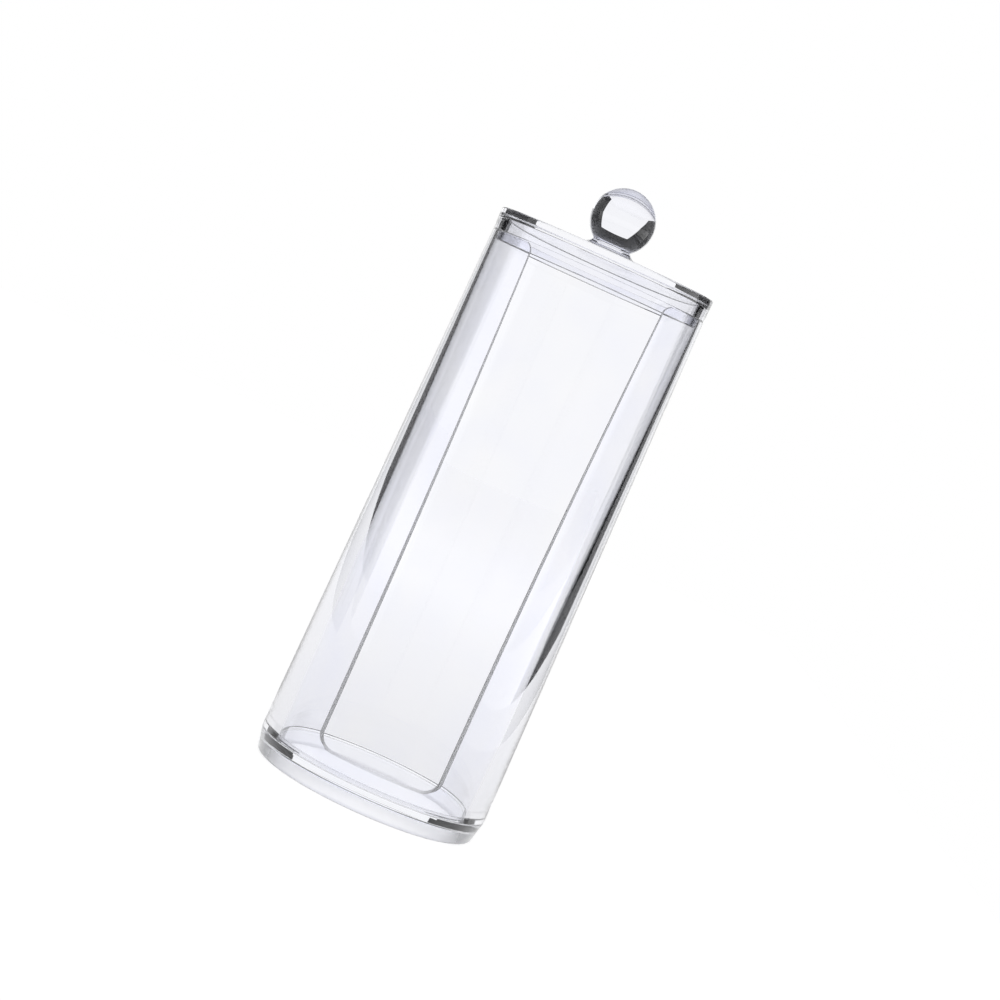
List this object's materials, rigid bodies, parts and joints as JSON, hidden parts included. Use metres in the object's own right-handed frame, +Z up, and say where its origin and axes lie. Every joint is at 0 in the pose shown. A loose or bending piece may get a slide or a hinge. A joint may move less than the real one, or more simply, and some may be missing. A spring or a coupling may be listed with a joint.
{
  "type": "cotton swab holder",
  "caption": "Tall clear round holder with a tapered tube, an open front slot, a ring foot fixed under it and a lift-off lid with a solid ball knob.",
  "frame": {"origin": "centre of the foot on the plane the holder stands on", "axes": "+Z up along the tube's axis, -Y out of the front slot, +X to the right seen from the front"},
  "size_m": [0.07, 0.07, 0.1899],
  "materials": {
    "tube_clear": "clear moulded acrylic, polished all over, the slot edges as moulded",
    "base_clear": "clear moulded acrylic, polished, fixed to the tube",
    "lid_clear": "clear moulded acrylic, polished",
    "knob_clear": "clear solid acrylic moulding, polished, fixed to the lid"
  },
  "bodies": {
    "canister": {"tube": "tube_clear", "base": "base_clear"},
    "cover": {"lid": "lid_clear", "knob": "knob_clear"}
  },
  "joints": [
    {"name": "lid_lift", "type": "slide", "parent": "canister", "child": "cover", "axis": [0, 0, 1], "range_m": [0, 0.08]}
  ]
}
